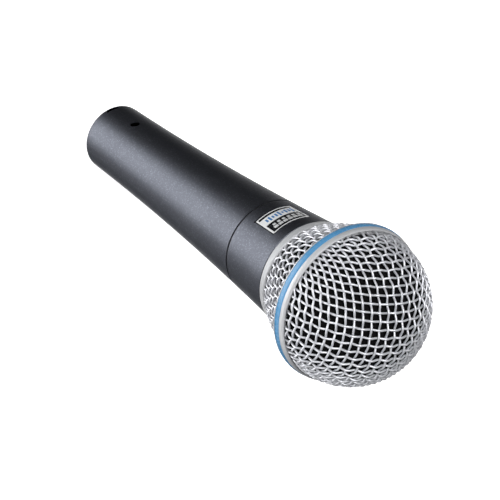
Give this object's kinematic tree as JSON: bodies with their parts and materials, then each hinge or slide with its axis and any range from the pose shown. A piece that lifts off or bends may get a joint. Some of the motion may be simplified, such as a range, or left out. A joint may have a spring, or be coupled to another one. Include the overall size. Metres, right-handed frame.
{
  "type": "handheld dynamic microphone",
  "caption": "Handheld dynamic microphone: tapered dark metal handle with a three-contact socket in its tail, screwed neck, and a round woven-mesh grille with a blue ring.",
  "frame": {"origin": "centre of the tail's rim, on the surface that the microphone stands on", "axes": "+Z along the microphone from the tail to the grille; -Y through the badge, the latch notch and the set screw"},
  "size_m": [0.0508, 0.0508, 0.16],
  "materials": {
    "enamel": "satin",
    "badge_plate": "gloss",
    "insert_plastic": "satin",
    "contact_metal": "polished",
    "screw_steel": "satin",
    "wire_grey": "satin",
    "core_steel": "satin",
    "bobbin_plastic": "satin",
    "copper_wire": "gloss",
    "cradle_plastic": "matte",
    "lead_red": "satin",
    "lead_black": "satin",
    "black_rubber": "matte",
    "mount_rubber": "matte",
    "ring_brass": "satin",
    "black_steel": "satin",
    "housing_alloy": "satin",
    "magnet_nickel": "polished",
    "felt": "matte",
    "board": "satin",
    "cloth": "matte",
    "cap_plastic": "satin",
    "film": "gloss",
    "former": "satin",
    "satin_silver": "satin",
    "mesh_wire": "satin",
    "foam": "matte",
    "blue_gloss": "gloss"
  },
  "bodies": {
    "handle": {"handle_shell": "enamel", "xlr_insert": "insert_plastic", "contact_pin_1": "contact_metal", "contact_pin_2": "contact_metal", "contact_pin_3": "contact_metal", "set_screw": "screw_steel", "ground_spring": "contact_metal", "connector_wires": "wire_grey", "transformer_core": "core_steel", "transformer_bobbin": "bobbin_plastic", "transformer_winding": "copper_wire", "transformer_cradle": "cradle_plastic", "capsule_lead_red": "lead_red", "capsule_lead_black": "lead_black"},
    "seam": {"seam_ring": "black_rubber"},
    "neck": {"neck_shell": "enamel", "badge": "badge_plate", "mount_clamp_ring": "ring_brass", "shock_mount": "mount_rubber"},
    "capsule": {"capsule_housing": "housing_alloy", "magnet_cup": "core_steel", "magnet": "magnet_nickel", "pole_piece": "core_steel", "diaphragm_clamp": "housing_alloy", "rear_felt": "felt", "terminal_board": "board", "terminal_lugs": "contact_metal", "front_cloth": "cloth", "resonator_cap": "cap_plastic"},
    "moving_coil": {"diaphragm": "film", "coil_former": "former", "voice_coil": "copper_wire"},
    "gasket": {"collar_gasket": "black_rubber"},
    "grille": {"grille_collar": "satin_silver", "lower_mesh": "mesh_wire", "lower_foam": "foam", "crimp_ring": "black_steel", "centre_band": "satin_silver", "blue_band": "blue_gloss", "upper_mesh": "mesh_wire", "upper_foam": "foam"}
  },
  "joints": [
    {"name": "neck_rise", "type": "slide", "parent": "handle", "child": "seam", "axis": [0, 0, 1], "range_m": [0, 0.006], "deforming": ["capsule_lead_red", "capsule_lead_black"]},
    {"name": "neck_turn", "type": "hinge", "parent": "seam", "child": "neck", "pos_m": [0, 0, 0.092], "axis": [0, 0, 1], "range_deg": [0, 1440.01]},
    {"name": "grille_rise", "type": "slide", "parent": "neck", "child": "gasket", "axis": [0, 0, 1], "range_m": [0, 0.006]},
    {"name": "grille_turn", "type": "hinge", "parent": "gasket", "child": "grille", "pos_m": [0, 0, 0.113], "axis": [0, 0, 1], "range_deg": [0, 1440.01]},
    {"name": "capsule_float", "type": "slide", "parent": "neck", "child": "capsule", "axis": [0, 0, 1], "range_m": [-0.0008, 0.0008], "stiffness_N_per_m": 2400, "springref_m": 0.00018, "deforming": ["shock_mount"]},
    {"name": "diaphragm_travel", "type": "slide", "parent": "capsule", "child": "moving_coil", "axis": [0, 0, 1], "range_m": [-0.0003, 0.0003], "stiffness_N_per_m": 60, "springref_m": 0.00015, "deforming": ["diaphragm"]}
  ],
  "couplings": [
    {"joint": "neck_turn", "follows": "neck_rise", "rad_per_m": 4188.8},
    {"joint": "grille_turn", "follows": "grille_rise", "rad_per_m": 4188.8}
  ]
}
